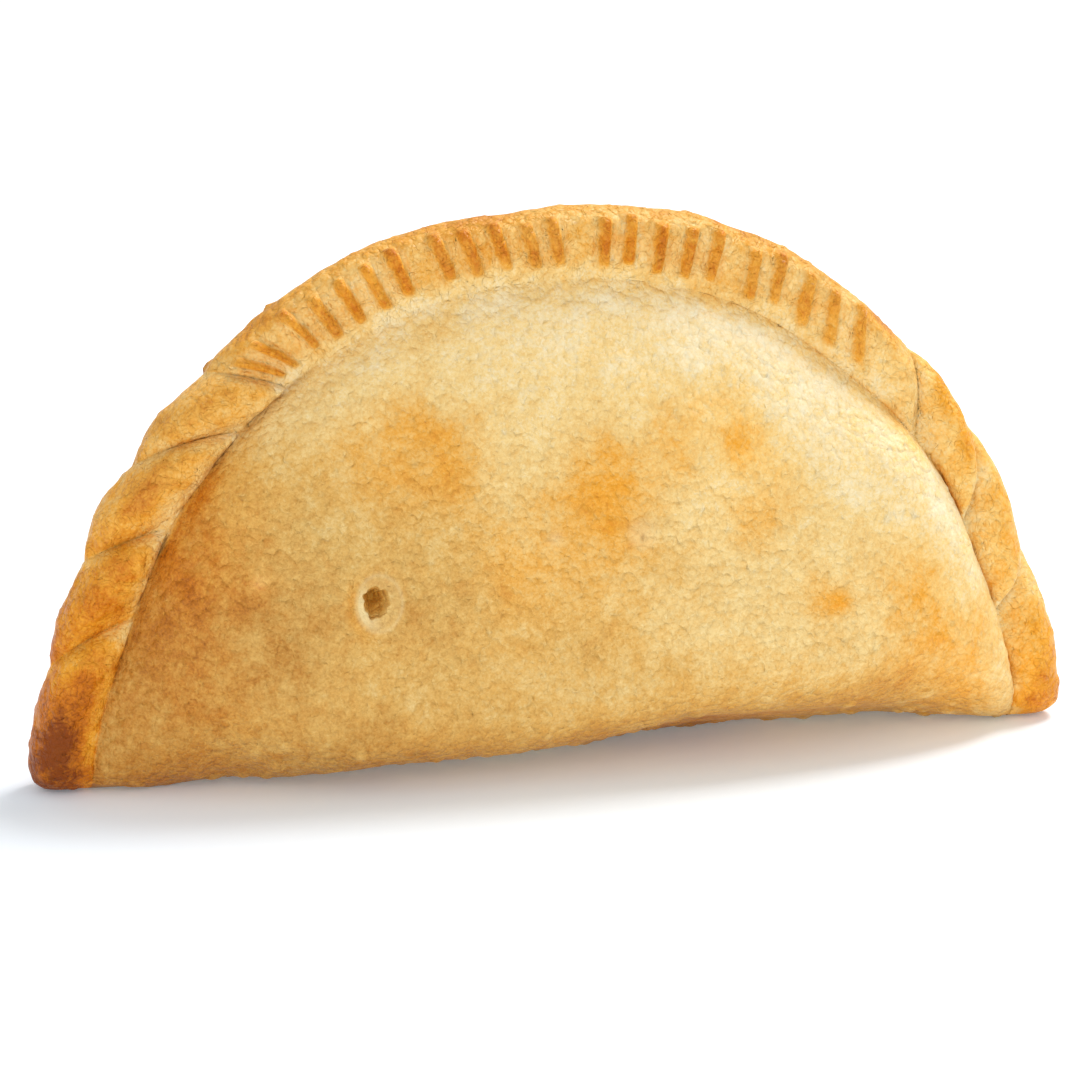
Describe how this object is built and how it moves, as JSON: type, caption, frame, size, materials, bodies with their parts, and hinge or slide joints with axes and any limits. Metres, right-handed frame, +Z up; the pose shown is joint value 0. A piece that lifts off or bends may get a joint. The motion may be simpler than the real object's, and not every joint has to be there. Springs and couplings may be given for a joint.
{
  "type": "baked empanada",
  "caption": "Baked half-moon empanada with a pressed band over the crown, a twisted rope edge down to both tips and a small steam vent, standing on its folded edge.",
  "frame": {"origin": "on the surface it stands on, under the middle of the pastry's box", "axes": "+X from the left tip to the right tip, +Y through the thickness from the pierced front to the back, +Z up from the folded edge to the crown"},
  "size_m": [0.1295, 0.0362, 0.0675],
  "materials": {
    "crust": "baked wheat dough, matt with a faint egg-wash sheen, pale cream on the belly and golden brown along the rim and tips"
  },
  "bodies": {
    "root": {"pastry": "crust"}
  },
  "joints": []
}
